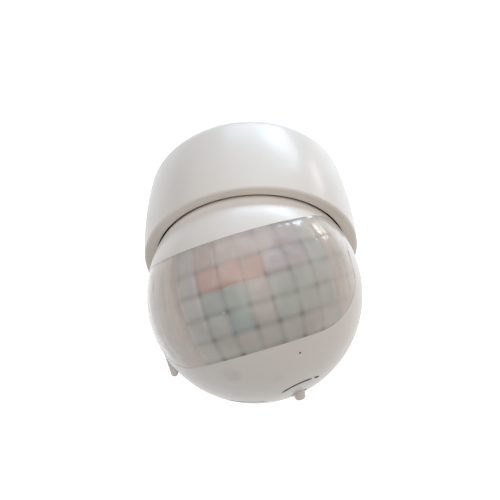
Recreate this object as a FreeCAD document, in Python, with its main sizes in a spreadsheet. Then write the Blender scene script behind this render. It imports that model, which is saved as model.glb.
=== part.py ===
import FreeCAD, Part
import math
import os
import re

import Sketcher
from FreeCAD import Placement, Rotation, Vector

# Wall motion detector: a round wall cup that carries a ball head with a faceted lens.
# Millimetres. The wall is the plane Y = 0, the cup's axis is -Y and +Z is up.
# The head is panned and tilted in the cup, and that is its place at rest.

SIZES = [
    ("ball_radius", 38.0, "outside of the head"),
    ("shell_wall", 2.2, "wall of the head's two half shells"),
    ("seat_gap", 0.4, "air between the head and the cup's dish"),
    ("running_gap", 0.3, "air round a small moving piece"),
    ("fit_gap", 0.05, "air between fitted pieces"),
    ("dish_height", 16.0, "wall to the back of the head"),
    ("rim_cover", 23.2, "how far the rim reaches over the back of the head"),
    ("lip_gap", 1.1, "air between the head and the lip's inner edge"),
    ("lip_width", 3.6, "face of the lip"),
    ("waist_swell", 0.2, "widest place of the cup past its rim"),
    ("waist_drop", 15.2, "rim to the widest place"),
    ("back_taper", 1.9, "cup at the wall inside its widest place"),
    ("back_round", 9.4, "rounding of the cup's wall edge"),
    ("lip_round", 1.0, "rounding of the rim's outer edge"),
    ("lip_depth", 5.0, "solid rim behind the lip's face"),
    ("lip_drop", 0.9, "how far the lip slopes in"),
    ("cup_wall", 2.5, "wall of the cup"),
    ("dish_wall", 2.0, "wall of the dish behind the head"),
    ("boss_radius", 8.5, "boss round the pivot bolt"),
    ("boss_depth", 3.6, "back of the head to the face of that boss"),
    ("plate_inset", 10.2, "wall plate's edge inside the cup's"),
    ("plate_cover", 0.8, "cup's back past the wall plate"),
    ("plate_thick", 2.4, "wall plate"),
    ("screw_spacing", 40.0, "between the wall screws"),
    ("screw_slot_radius", 2.25, "half the width of a wall screw slot"),
    ("screw_slot_length", 9.0, "end to end"),
    ("cable_height", 15.5, "cable hole above the axis"),
    ("cable_hole_radius", 6.0, "cable hole in the wall plate"),
    ("cable_bore_radius", 4.0, "bore of the grommet"),
    ("grommet_flange", 7.4, "radius of the grommet's flange"),
    ("grommet_height", 4.0, "wall to the grommet's front"),
    ("lug_width", 10.0, "lug that takes the lock screw"),
    ("lug_inset", 0.6, "lug inside the wall plate's edge"),
    ("lug_thick", 5.0, "lug"),
    ("lug_height", 13.0, "wall to the lug's end"),
    ("lock_height", 8.0, "wall to the lock screw"),
    ("lock_sink", 2.6, "lock screw's head under the cup's skin"),
    ("lock_length", 14.0, "lock screw under its head"),
    ("terminal_length", 25.0, "terminal block"),
    ("terminal_width", 9.6, "terminal block"),
    ("terminal_height", 9.0, "terminal block"),
    ("terminal_drop", 16.2, "terminal block below the axis"),
    ("terminal_pitch", 8.0, "between the poles"),
    ("terminal_poles", 3, "number of poles"),
    ("terminal_floor", 3.0, "wall plate to the floor of a pole's well"),
    ("terminal_well", 2.0, "radius of a pole's well"),
    ("terminal_lead", 1.3, "radius of a lead's way in"),
    ("clamp_screw_radius", 1.8, "terminal screws"),
    ("clamp_screw_height", 2.6, "terminal screws"),
    ("ring_inner", 14.0, "friction ring"),
    ("ring_outer", 18.0, "friction ring"),
    ("ring_depth", 1.0, "depth of the friction ring's groove"),
    ("bolt_radius", 4.5, "hollow pivot bolt"),
    ("bolt_bore", 3.0, "way for the leads through the bolt"),
    ("bolt_past", 1.1, "bolt past its nut"),
    ("saddle_thick", 3.8, "clamp saddle at its middle"),
    ("flange_radius", 7.5, "bolt's flange"),
    ("flange_thick", 1.8, "bolt's flange"),
    ("saddle_radius", 12.0, "clamp saddle inside the head"),
    ("key_length", 10.0, "saddle's key along the slot"),
    ("slot_width", 9.6, "slot in the rear shell"),
    ("slot_margin", 1.5, "slot past the key at each end, in degrees"),
    ("spring_rise", 0.8, "rise of the disc spring"),
    ("spring_thick", 0.8, "disc spring"),
    ("nut_flats", 13.0, "across the clamp nut's flats"),
    ("nut_height", 4.0, "clamp nut"),
    ("head_pan", 13.2, "turn of the tilt axis about the cup's axis, at rest"),
    ("head_tilt", 57.5, "lens axis up from the cup's axis, at rest"),
    ("head_roll", 6.7, "slot's plane against the head's own upright"),
    ("tilt_travel", 60.0, "how far the head tilts forward from rest"),
    ("window_up", 28.8, "lens window's upper edge, in degrees"),
    ("window_down", 27.4, "lens window's lower edge, in degrees"),
    ("window_turn_top", 74.4, "window's half width at its upper edge, in degrees"),
    ("window_turn_bottom", 67.1, "window's half width at its lower edge, in degrees"),
    ("window_round_top", 12.9, "upper corners, in degrees"),
    ("window_round_bottom", 23.3, "lower corners, in degrees"),
    ("window_seam", 4.5, "window's sides in front of the shells' seam"),
    ("ledge_width", 1.5, "ledge that the lens rests on"),
    ("ledge_thick", 0.7, "ledge that the lens rests on"),
    ("facet_columns", 15, "lens facets side by side"),
    ("facet_rows", 5, "lens facets one above the other"),
    ("facet_turn", 11.0, "width of a facet, in degrees"),
    ("facet_rise", 10.8, "height of a facet, in degrees"),
    ("facet_inset", 0.95, "lens at a facet's corners"),
    ("peg_inset", 3.8, "moulded peg inside the head's outline"),
    ("peg_front", 6.6, "moulded peg in front of the middle"),
    ("peg_start", 10.0, "top of the peg below the centre"),
    ("peg_end", 19.8, "tip of the peg below the centre"),
    ("peg_radius", 1.8, "moulded peg where it leaves the head"),
    ("peg_tip_radius", 1.26, "moulded peg's tip"),
    ("peg_round", 1.08, "rounding of that tip"),
    ("light_side", 6.4, "light knob right of the middle"),
    ("light_front", 10.6, "light knob in front of the middle"),
    ("time_side", -9.5, "time knob right of the middle"),
    ("time_front", -9.6, "time knob in front of the middle"),
    ("knob_radius", 2.45, "adjusting knob"),
    ("knob_tip_radius", 1.7, "adjusting knob's tip"),
    ("knob_round", 1.3, "rounding of that tip"),
    ("knob_slot_length", 2.4, "screwdriver slot in the tip"),
    ("knob_slot_width", 0.7, "screwdriver slot"),
    ("knob_slot_depth", 0.9, "screwdriver slot"),
    ("knob_stem_radius", 1.5, "adjusting knob's stem"),
    ("knob_taper", 5.0, "length of the knob's tapered end"),
    ("knob_length", 8.6, "knob from its shoulder to its tip"),
    ("knob_proud", 0.3, "knob's tip past the head's lowest point"),
    ("joint_screw_low_inset", 8.3, "lower shell screws inside the head's outline"),
    ("joint_screw_low_turn", 42.3, "lower shell screws from straight down, in degrees"),
    ("joint_screw_high_inset", 5.8, "upper shell screws inside the head's outline"),
    ("joint_screw_high_turn", 43.1, "upper shell screws from straight up, in degrees"),
    ("joint_screw_seat", 12.0, "seam to the underside of the screw's head"),
    ("joint_screw_length", 20.0, "shell screw under its head"),
    ("joint_boss_radius", 3.9, "screw bosses"),
    ("screw_core", 1.45, "radius of the screws' shanks"),
    ("screw_head_radius", 2.8, "screw heads"),
    ("screw_head_height", 1.9, "screw heads"),
    ("small_core", 0.9, "radius of the board screws' shanks"),
    ("small_head", 1.9, "radius of the board screws' heads"),
    ("small_head_height", 1.3, "board screws' heads"),
    ("small_length", 7.2, "board screws under their heads"),
    ("board_thick", 1.6, "circuit boards"),
    ("board_inset", 8.3, "main board's edge inside the shell"),
    ("board_place", 2.0, "seam to the main board's front"),
    ("post_inset", 7.0, "posts inside the main board's edge"),
    ("post_height", 6.0, "posts above the centre"),
    ("post_radius", 2.6, "posts"),
    ("control_clear", 1.4, "control board's corners inside the shell"),
    ("control_front", 17.0, "control board in front of the centre"),
    ("control_back", 15.0, "control board behind the centre"),
    ("control_rise", 20.1, "head's lowest point to the underside of the control board"),
    ("trimmer_size", 6.6, "trimmer's side"),
    ("trimmer_height", 4.6, "trimmer"),
    ("holder_radius", 6.6, "sensor holder"),
    ("holder_height", 4.5, "sensor holder"),
    ("can_radius", 4.6, "sensor can"),
    ("can_height", 4.2, "sensor can"),
    ("can_window_width", 4.0, "sensor's window"),
    ("can_window_height", 3.0, "sensor's window"),
    ("can_window_thick", 0.3, "sensor's window"),
    ("relay_length", 19.0, "relay"),
    ("relay_width", 15.0, "relay"),
    ("relay_height", 15.5, "relay off the board"),
    ("capacitor_radius", 5.0, "capacitor"),
    ("capacitor_height", 14.0, "capacitor off the board"),
    ("led_radius", 1.5, "indicator lamp"),
    ("led_height", 4.5, "indicator lamp off the board"),
    ("led_rise", 5.0, "indicator lamp above the main board's lower edge"),
]

# Places and sizes that follow from the ones above.
BALL_HEIGHT = "(dish_height + ball_radius)"
CUP_DEPTH = "(dish_height + rim_cover)"
LIP_RADIUS = "(sqrt(ball_radius^2 - (ball_radius - rim_cover)^2) + lip_gap)"
RIM_RADIUS = "(%s + lip_width)" % LIP_RADIUS
WAIST_RADIUS = "(%s + waist_swell)" % RIM_RADIUS
WAIST_HEIGHT = "(%s - waist_drop)" % CUP_DEPTH
BACK_RADIUS = "(%s - back_taper)" % WAIST_RADIUS
BOSS_HEIGHT = "(dish_height - boss_depth)"
PLATE_RADIUS = "(%s - plate_inset)" % BACK_RADIUS
LUG_OUTER = "(%s - lug_inset)" % PLATE_RADIUS
LOCK_SEAT = "(%s - lock_sink)" % BACK_RADIUS
FLANGE_REACH = "(ball_radius - shell_wall - saddle_thick)"
NUT_LOW = "(%s - spring_rise - spring_thick - nut_height - 2 * fit_gap)" % BOSS_HEIGHT
WINDOW_TOP = "ball_radius * sin(window_up)"
WINDOW_BOTTOM = "ball_radius * sin(window_down)"
WINDOW_HALF_TOP = "ball_radius * sin(window_turn_top)"
WINDOW_HALF_BOTTOM = "ball_radius * sin(window_turn_bottom)"
KNOB_TIP = "(ball_radius + knob_proud)"
BOARD_RADIUS = "(ball_radius - shell_wall - board_inset)"
POST_SIDE = "(%s - post_inset)" % BOARD_RADIUS
CONTROL_LOW = "(ball_radius - control_rise)"
BOARD_BOTTOM = "(%s - board_thick - running_gap)" % CONTROL_LOW
CONTROL_REACH = "(ball_radius - shell_wall - control_clear)"
CONTROL_HALF = "sqrt(%s^2 - %s^2 - control_front^2)" % (CONTROL_REACH, CONTROL_LOW)

os.makedirs("parts", exist_ok=True)
doc = FreeCAD.newDocument("wall_motion_detector")
sizes = doc.addObject("Spreadsheet::Sheet", "sizes")
for row, (alias, value, note) in enumerate(SIZES, start=1):
    sizes.set("A%d" % row, str(value))
    sizes.setAlias("A%d" % row, alias)
    sizes.set("B%d" % row, note)
doc.recompute()
VALUE = {alias: value for alias, value, note in SIZES}
nodes = []


# Names of sizes in an expression become cells of the sheet.
def cells(expression):
    return re.sub(r"[a-z_]{3,}", lambda word: cell(word.group(0)), str(expression))


def cell(word):
    return "sizes." + word if word in VALUE else word


def bind(thing, **expressions):
    for name, expression in expressions.items():
        thing.setExpression(name, cells(expression))
    return thing


def at(thing, x="0", y="0", z="0", turn=None):
    if turn is not None:
        thing.Placement = Placement(Vector(), turn)
    for axis, expression in (("x", x), ("y", y), ("z", z)):
        thing.setExpression("Placement.Base." + axis, cells(expression))
    return thing


def cylinder(name, radius, height, x="0", y="0", z="0", turn=None):
    thing = doc.addObject("Part::Cylinder", name)
    bind(thing, Radius=radius, Height=height)
    return at(thing, x, y, z, turn)


def cone(name, low, high, height, x="0", y="0", z="0"):
    thing = doc.addObject("Part::Cone", name)
    bind(thing, Radius1=low, Radius2=high, Height=height)
    return at(thing, x, y, z)


def sphere(name, radius, z="0"):
    thing = doc.addObject("Part::Sphere", name)
    bind(thing, Radius=radius)
    return at(thing, z=z)


# A box by its size and the place of its middle.
def block(name, size, middle):
    thing = doc.addObject("Part::Box", name)
    bind(thing, Length=size[0], Width=size[1], Height=size[2])
    corner = ["(%s) - (%s) / 2" % (place, side) for place, side in zip(middle, size)]
    return at(thing, *corner)


def cut(name, base, *tools):
    for number, tool in enumerate(tools, start=1):
        step = doc.addObject("Part::Cut", name if number == len(tools) else "%s_%d" % (name, number))
        step.Base = base
        step.Tool = tool
        base = step
    return base


def fuse(name, *things):
    step = doc.addObject("Part::MultiFuse", name)
    step.Shapes = list(things)
    return step


def common(name, *things):
    step = doc.addObject("Part::MultiCommon", name)
    step.Shapes = list(things)
    return step


def body(name):
    return doc.addObject("PartDesign::Body", name)


def sketch_on(part, name, role):
    sketch = part.newObject("Sketcher::SketchObject", name)
    plane = [feature for feature in part.Origin.OriginFeatures if feature.Role == role][0]
    sketch.AttachmentSupport = [(plane, "")]
    sketch.MapMode = "FlatFace"
    return sketch


# Holds one coordinate of a sketch point to an axis or to an expression.
def hold(sketch, geometry, point, kind, expression):
    if str(expression) == "0":
        axis = -2 if kind == "DistanceX" else -1
        sketch.addConstraint(Sketcher.Constraint("PointOnObject", geometry, point, axis))
        return
    index = sketch.addConstraint(Sketcher.Constraint(kind, -1, 1, geometry, point, 1.0))
    sketch.setExpression("Constraints[%d]" % index, cells(expression))


# A closed outline of straight sides through the given corners, anticlockwise.
def outline(part, name, role, corners):
    sketch = sketch_on(part, name, role)
    count = len(corners)
    start = [
        Vector(math.cos(2 * math.pi * i / count), math.sin(2 * math.pi * i / count), 0) for i in range(count)
    ]
    for i in range(count):
        sketch.addGeometry(Part.LineSegment(start[i], start[(i + 1) % count]), False)
    for i in range(count):
        sketch.addConstraint(Sketcher.Constraint("Coincident", i, 2, (i + 1) % count, 1))
    for i, (x, y) in enumerate(corners):
        hold(sketch, i, 1, "DistanceX", x)
        hold(sketch, i, 1, "DistanceY", y)
    return sketch


def circle(part, name, role, radius, x="0", y="0"):
    sketch = sketch_on(part, name, role)
    index = sketch.addGeometry(Part.Circle(Vector(), Vector(0, 0, 1), 1.0), False)
    hold(sketch, index, 3, "DistanceX", x)
    hold(sketch, index, 3, "DistanceY", y)
    size = sketch.addConstraint(Sketcher.Constraint("Radius", index, 1.0))
    sketch.setExpression("Constraints[%d]" % size, cells(radius))
    return sketch


# A turned solid: corners are (radius, height) pairs round the Z axis.
def turned(name, corners):
    part = body(name)
    sketch = outline(part, name + "_outline", "XZ_Plane", corners)
    turn = part.newObject("PartDesign::Revolution", name + "_turn")
    turn.Profile = sketch
    turn.ReferenceAxis = (sketch, ["V_Axis"])
    turn.Angle = 360
    part.Tip = turn
    return part


def pad(part, name, sketch, length, backwards=False):
    feature = part.newObject("PartDesign::Pad", name)
    feature.Profile = sketch
    feature.Reversed = backwards
    bind(feature, Length=length)
    part.Tip = feature
    return feature


def pocket(part, name, sketch, length, backwards=False):
    feature = part.newObject("PartDesign::Pocket", name)
    feature.Profile = sketch
    feature.Reversed = backwards
    bind(feature, Length=length)
    part.Tip = feature
    return feature


# Rounds the edges of a body's last feature that the test picks out.
def rounded(part, name, radius, picks):
    doc.recompute()
    base = part.Tip
    edges = ["Edge%d" % (i + 1) for i, edge in enumerate(base.Shape.Edges) if picks(edge)]
    feature = part.newObject("PartDesign::Fillet", name)
    feature.Base = (base, edges)
    bind(feature, Radius=radius)
    part.Tip = feature
    return feature


def node(thing, label, placement):
    thing.Label = label
    thing.Placement = placement
    nodes.append(thing)
    return thing


# Circles round the Z axis at a body's lowest or highest level, for its outer edges.
def lowest_circle(edge, part):
    return level_circle(edge, min(vertex.Z for vertex in part.Tip.Shape.Vertexes))


def highest_circle(edge, part):
    return level_circle(edge, max(vertex.Z for vertex in part.Tip.Shape.Vertexes))


def level_circle(edge, level):
    return isinstance(edge.Curve, Part.Circle) and abs(edge.Curve.Center.z - level) < 1e-6


# Frames. In the cup's own frame Z is the distance from the wall.
# In the head's own frame the lens faces -Y, the origin is the ball's centre and +Z is up.
X_AXIS, Y_AXIS, Z_AXIS = Vector(1, 0, 0), Vector(0, 1, 0), Vector(0, 0, 1)
BALL_DISTANCE = VALUE["dish_height"] + VALUE["ball_radius"]
TO_WALL = Placement(Vector(), Rotation(X_AXIS, 90))
TO_CARRIER = TO_WALL * Placement(Vector(), Rotation(Z_AXIS, VALUE["head_pan"]))
HEAD_TURN = (
    Rotation(Y_AXIS, -VALUE["head_pan"])
    * Rotation(X_AXIS, -VALUE["head_tilt"])
    * Rotation(Y_AXIS, -VALUE["head_roll"])
)
TO_HEAD = Placement(Vector(0, -BALL_DISTANCE, 0), HEAD_TURN)
ALONG_Y = Rotation(X_AXIS, -90)
AGAINST_Y = Rotation(X_AXIS, 90)


# Cup

def cup_blank():
    part = turned("cup_blank", [
        ("0", "0"),
        (BACK_RADIUS, "0"),
        (WAIST_RADIUS, WAIST_HEIGHT),
        (RIM_RADIUS, CUP_DEPTH),
        (LIP_RADIUS, CUP_DEPTH + " - lip_drop"),
        ("0", CUP_DEPTH + " - lip_drop"),
    ])
    rounded(part, "cup_back_round", "back_round", lambda edge: lowest_circle(edge, part))
    rounded(part, "cup_lip_round", "lip_round", lambda edge: highest_circle(edge, part))
    return part


def cup_cavity():
    room = turned("cup_room", [
        ("0", "-1"),
        (PLATE_RADIUS + " + running_gap", "-1"),
        (PLATE_RADIUS + " + running_gap", "plate_thick + plate_cover"),
        (BACK_RADIUS + " - cup_wall", "back_round + cup_wall"),
        (WAIST_RADIUS + " - cup_wall", WAIST_HEIGHT),
        (WAIST_RADIUS + " - cup_wall", CUP_DEPTH + " - lip_depth"),
        ("0", CUP_DEPTH + " - lip_depth"),
    ])
    dish_back = sphere("dish_back", "ball_radius + seat_gap + dish_wall", BALL_HEIGHT)
    return cut("cup_cavity", room, dish_back)


def ring_space(name, slack, low, high):
    tube = cut(
        name + "_tube",
        cylinder(name + "_outer", "ring_outer - %s" % slack, CUP_DEPTH),
        cylinder(name + "_inner", "ring_inner + %s" % slack, CUP_DEPTH),
    )
    back = common(name + "_back", tube, sphere(name + "_high", high, BALL_HEIGHT))
    return cut(name, back, sphere(name + "_low", low, BALL_HEIGHT))


def base_housing():
    shell = cut("cup_shell", cup_blank(), cup_cavity())
    boss = cylinder("bolt_boss", "boss_radius", "boss_depth", z=BOSS_HEIGHT)
    whole = fuse("cup_with_boss", shell, boss)
    seat = sphere("ball_seat", "ball_radius + seat_gap", BALL_HEIGHT)
    bolt_hole = cylinder("bolt_hole", "bolt_radius + running_gap", CUP_DEPTH)
    groove = ring_space("ring_groove", "0", "ball_radius", "ball_radius + seat_gap + ring_depth")
    lock_hole = cylinder(
        "lock_hole", "screw_core + running_gap", WAIST_RADIUS, z="lock_height", turn=AGAINST_Y
    )
    lock_recess = cylinder(
        "lock_recess", "screw_head_radius + running_gap", "3 * lock_sink", y="-" + LOCK_SEAT, z="lock_height",
        turn=AGAINST_Y,
    )
    return cut("base_housing", whole, seat, bolt_hole, groove, lock_hole, lock_recess)


def wall_slot(name, side):
    x = "%s * screw_spacing / 2" % side
    reach = "(screw_slot_length / 2 - screw_slot_radius)"
    middle = block(
        name + "_middle", ("2 * " + reach, "2 * screw_slot_radius", "3 * plate_thick"), (
            x, "0", "plate_thick / 2"
        )
    )
    ends = [
        cylinder(
            name + "_end_%d" % (i + 1), "screw_slot_radius", "3 * plate_thick", x + way + reach,
            z="-plate_thick"
        )
        for i, way in enumerate((" - ", " + "))
    ]
    return fuse(name, middle, *ends)


def wall_plate():
    part = body("plate_body")
    pad(part, "plate_pad", circle(part, "plate_outline", "XY_Plane", PLATE_RADIUS), "plate_thick")
    outer = "-" + LUG_OUTER
    inner = "lug_thick - " + LUG_OUTER
    lug = outline(part, "lug_outline", "XY_Plane", [
        ("-lug_width / 2", outer),
        ("lug_width / 2", outer),
        ("lug_width / 2", inner),
        ("-lug_width / 2", inner),
    ])
    pad(part, "lug_pad", lug, "lug_height")
    hole = circle(part, "cable_outline", "XY_Plane", "cable_hole_radius", "0", "cable_height")
    pocket(part, "cable_pocket", hole, "2 * plate_thick", True)
    pilot = cylinder(
        "lock_pilot", "screw_core + fit_gap", LUG_OUTER, y="-%s / 2" % LUG_OUTER, z="lock_height",
        turn=AGAINST_Y
    )
    return cut("wall_plate", part, wall_slot("left_slot", "-1"), wall_slot("right_slot", "1"), pilot)


# A screw along its own Z axis, with a cross recess, its head's underside at the origin.
def screw(name, length, x="0", y="0", z="0", turn=None):
    head = cone(name + "_head", "screw_head_radius", "screw_head_radius * 0.8", "screw_head_height")
    shank = cylinder(name + "_shank", "screw_core", length, z="-(%s)" % length)
    arm = ("screw_head_radius * 1.1", "0.6", "screw_head_height")
    across = block(name + "_cross_1", arm, ("0", "0", "screw_head_height"))
    along = block(name + "_cross_2", (arm[1], arm[0], arm[2]), ("0", "0", "screw_head_height"))
    thing = cut(name, fuse(name + "_blank", head, shank), fuse(name + "_cross", across, along))
    return at(thing, x, y, z, turn)


def cable_grommet():
    return at(turned("cable_grommet", [
        ("cable_bore_radius", "0.2"),
        ("cable_hole_radius - fit_gap", "0.2"),
        ("cable_hole_radius - fit_gap", "plate_thick + fit_gap"),
        ("grommet_flange", "plate_thick + fit_gap"),
        ("cable_bore_radius + 1", "grommet_height"),
        ("cable_bore_radius", "grommet_height"),
    ]), y="cable_height")


def pole_side(number):
    return "(%d - (terminal_poles - 1) / 2) * terminal_pitch" % number


def terminal_block():
    part = body("terminal_body")
    low, high = "-terminal_drop - terminal_width / 2", "-terminal_drop + terminal_width / 2"
    base = outline(part, "terminal_outline", "XY_Plane", [
        ("-terminal_length / 2", low),
        ("terminal_length / 2", low),
        ("terminal_length / 2", high),
        ("-terminal_length / 2", high),
    ])
    pad(part, "terminal_pad", base, "plate_thick + terminal_height")
    foot = cylinder("terminal_foot", PLATE_RADIUS, "plate_thick")
    tools = [foot]
    for pole in range(int(VALUE["terminal_poles"])):
        floor = "plate_thick + terminal_floor"
        well = cylinder(
            "well_%d" % pole, "terminal_well", "terminal_height", pole_side(pole), "-terminal_drop", floor
        )
        lead = cylinder(
            "lead_way_%d" % pole, "terminal_lead", "terminal_width + 2", pole_side(pole),
            "%s - 1" % low, floor, ALONG_Y
        )
        tools += [well, lead]
    return cut("terminal_block", part, *tools)


def terminal_screws():
    heads = []
    for pole in range(int(VALUE["terminal_poles"])):
        side, foot = pole_side(pole), "plate_thick + terminal_floor + terminal_lead"
        rod = cylinder(
            "clamp_screw_%d" % pole, "clamp_screw_radius", "clamp_screw_height", side, "-terminal_drop", foot
        )
        slot_size = ("2.2 * clamp_screw_radius", "clamp_screw_radius / 3", "0.7 * clamp_screw_height")
        slot = block(
            "clamp_slot_%d" % pole, slot_size, (side, "-terminal_drop", foot + " + clamp_screw_height")
        )
        heads.append(cut("clamp_head_%d" % pole, rod, slot))
    return fuse("terminal_screws", *heads)


# Swivel: the hollow bolt and what it clamps turn with the head about the cup's axis.

def reach(distance):
    return BALL_HEIGHT + " - (%s)" % distance


def pivot_bolt():
    return turned("pivot_bolt", [
        ("bolt_bore", NUT_LOW + " - bolt_past"),
        ("bolt_radius", NUT_LOW + " - bolt_past"),
        ("bolt_radius", reach(FLANGE_REACH)),
        ("flange_radius", reach(FLANGE_REACH)),
        ("flange_radius", reach(FLANGE_REACH + " - flange_thick")),
        ("bolt_bore", reach(FLANGE_REACH + " - flange_thick")),
    ])


def clamp_saddle():
    inside = "ball_radius - shell_wall"
    disc = cylinder("saddle_disc", "saddle_radius", "ball_radius", z=reach(FLANGE_REACH + " + ball_radius"))
    dome = common("saddle_dome", disc, sphere("saddle_face", inside + " - running_gap", BALL_HEIGHT))
    key_size = ("slot_width - 2 * running_gap", "key_length", "shell_wall + 3")
    key_blank = block("key_blank", key_size, ("0", "0", reach("ball_radius - 1")))
    key = common("saddle_key", key_blank, sphere("key_face", "ball_radius - running_gap", BALL_HEIGHT))
    hole = cylinder("saddle_hole", "bolt_radius + fit_gap", BALL_HEIGHT)
    return cut("clamp_saddle", fuse("saddle_blank", dome, key), hole)


def spring_washer():
    top = BOSS_HEIGHT + " - fit_gap"
    return turned("spring_washer", [
        ("bolt_radius + running_gap", "%s - spring_rise - spring_thick" % top),
        ("boss_radius - 0.7", "%s - spring_thick" % top),
        ("boss_radius - 0.7", top),
        ("bolt_radius + running_gap", "%s - spring_rise" % top),
    ])


def clamp_nut():
    part = body("clamp_nut")
    sides = 6
    sketch = sketch_on(part, "nut_outline", "XY_Plane")
    corner = [
        Vector(math.cos(2 * math.pi * i / sides), math.sin(2 * math.pi * i / sides), 0) * 7
        for i in range(sides)
    ]
    for i in range(sides):
        sketch.addGeometry(Part.LineSegment(corner[i], corner[(i + 1) % sides]), False)
    guide = sketch.addGeometry(Part.Circle(Vector(), Z_AXIS, 7.0), True)
    sketch.addConstraint(Sketcher.Constraint("Coincident", guide, 3, -1, 1))
    for i in range(sides):
        sketch.addConstraint(Sketcher.Constraint("Coincident", i, 2, (i + 1) % sides, 1))
        sketch.addConstraint(Sketcher.Constraint("PointOnObject", i, 1, guide))
    for i in range(1, sides):
        sketch.addConstraint(Sketcher.Constraint("Equal", 0, i))
    sketch.addConstraint(Sketcher.Constraint("PointOnObject", 0, 1, -1))
    size = sketch.addConstraint(Sketcher.Constraint("Radius", guide, 7.0))
    sketch.setExpression("Constraints[%d]" % size, cells("nut_flats / 2 / cos(30)"))
    pad(part, "nut_pad", sketch, "nut_height")
    hole = circle(part, "nut_hole", "XY_Plane", "bolt_radius + fit_gap")
    pocket(part, "nut_pocket", hole, "nut_height", True)
    return part


# Head

def half_ball(name, radius, front):
    thing = doc.addObject("Part::Sphere", name)
    bind(thing, Radius=radius)
    thing.Angle3 = 180
    if front:
        thing.Placement = Placement(Vector(), Rotation(Z_AXIS, 180))
    return thing


def half_shell(name, front):
    outer = half_ball(name + "_outer", "ball_radius", front)
    inner = sphere(name + "_inner", "ball_radius - shell_wall")
    return cut(name, outer, inner)


# The lens window seen from the front, grown or shrunk by a margin.
def window_block(name, margin):
    part = body(name)
    sketch = outline(part, name + "_outline", "XZ_Plane", [
        ("-(%s + %s)" % (WINDOW_HALF_BOTTOM, margin), "-(%s + %s)" % (WINDOW_BOTTOM, margin)),
        ("%s + %s" % (WINDOW_HALF_BOTTOM, margin), "-(%s + %s)" % (WINDOW_BOTTOM, margin)),
        ("%s + %s" % (WINDOW_HALF_TOP, margin), "%s + %s" % (WINDOW_TOP, margin)),
        ("-(%s + %s)" % (WINDOW_HALF_TOP, margin), "%s + %s" % (WINDOW_TOP, margin)),
    ])
    pad(part, name + "_pad", sketch, "1.2 * ball_radius")
    low = "ball_radius * sin(window_round_bottom) + (%s)" % margin
    high = "ball_radius * sin(window_round_top) + (%s)" % margin
    rounded(part, name + "_low", low, lambda edge: upright(edge, below=True))
    rounded(part, name + "_high", high, lambda edge: upright(edge, below=False))
    return part


# What lies behind the window's sides, up to the shells' seam.
def seam_block(name, margin):
    size = ("3 * ball_radius", "2 * (window_seam + (%s))" % margin, "3 * ball_radius")
    return block(name, size, ("0", "0", "0"))


# Edges along the head's Y axis, at the window's lower or upper corners.
def upright(edge, below):
    first, last = edge.Vertexes[0].Point, edge.Vertexes[-1].Point
    straight = isinstance(edge.Curve, Part.Line) and abs(first.y - last.y) > 1
    return straight and (first.z < 0) == below


# Where the shell screws are: on two circles round the head's Y axis, two below and two above.
def boss_places():
    low = "(ball_radius - joint_screw_low_inset)"
    high = "(ball_radius - joint_screw_high_inset)"
    places = []
    for side in ("-", ""):
        places.append(
            (side + low + " * sin(joint_screw_low_turn)", "-" + low + " * cos(joint_screw_low_turn)")
        )
        places.append((side + high + " * sin(joint_screw_high_turn)", high + " * cos(joint_screw_high_turn)"))
    return places


def bosses(name, radius, start, length, turn):
    rods = [
        cylinder("%s_%d" % (name, i), radius, length, x, start, z, turn)
        for i, (x, z) in enumerate(boss_places())
    ]
    return fuse(name, *rods)


def knob_hole(name, side, front):
    return cylinder(
        name, "knob_radius + running_gap", "ball_radius", side, "-(%s)" % front, "-1.5 * ball_radius"
    )


def front_shell():
    shell = half_shell("front_half", True)
    rods = bosses("front_rods", "joint_boss_radius - 0.6", "-fit_gap", "ball_radius", AGAINST_Y)
    inside = common("front_bosses", rods, sphere("front_limit", "ball_radius - shell_wall / 2"))
    peg_blank = turned("peg_blank", [
        ("0", "-peg_end"),
        ("peg_tip_radius", "-peg_end"),
        ("peg_radius", "-peg_start"),
        ("0", "-peg_start"),
    ])
    rounded(peg_blank, "peg_tip", "peg_round", lambda edge: lowest_circle(edge, peg_blank))
    at(peg_blank, "peg_inset - ball_radius", "-peg_front")
    whole = fuse("front_blank", shell, inside, peg_blank)
    rebate = cut(
        "lens_rebate", window_block("rebate_block", "0"), sphere(
            "ledge_face", "ball_radius - shell_wall + ledge_thick"
        ),
        seam_block("rebate_seam", "0"),
    )
    opening = window_block("opening_block", "-ledge_width")
    pilots = bosses(
        "front_pilots", "screw_core + fit_gap", "1", "joint_screw_length - joint_screw_seat + 2", AGAINST_Y
    )
    return cut(
        "front_shell", whole, rebate, opening, pilots, knob_hole("light_hole", "light_side", "light_front")
    )


def tilt_slot():
    sector = doc.addObject("Part::Cylinder", "tilt_slot")
    sweep = "(tilt_travel + 2 * slot_margin) * 1 deg + 2 * asin(key_length / 2 / ball_radius)"
    bind(sector, Radius="1.3 * ball_radius", Height="slot_width", Angle=sweep)
    key_turn = math.degrees(math.asin(VALUE["key_length"] / 2 / VALUE["ball_radius"])) + VALUE["slot_margin"]
    lowest = VALUE["head_tilt"] - VALUE["tilt_travel"] - key_turn
    across = Rotation(Y_AXIS, 90) * Rotation(Z_AXIS, 90)
    turn = Rotation(Y_AXIS, VALUE["head_roll"]) * Rotation(X_AXIS, lowest) * Rotation(Vector(1, 1, 1), 120)
    middle = turn.multVec(Vector(0, 0, -VALUE["slot_width"] / 2))
    sector.Placement = Placement(middle, turn)
    return sector


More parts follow.
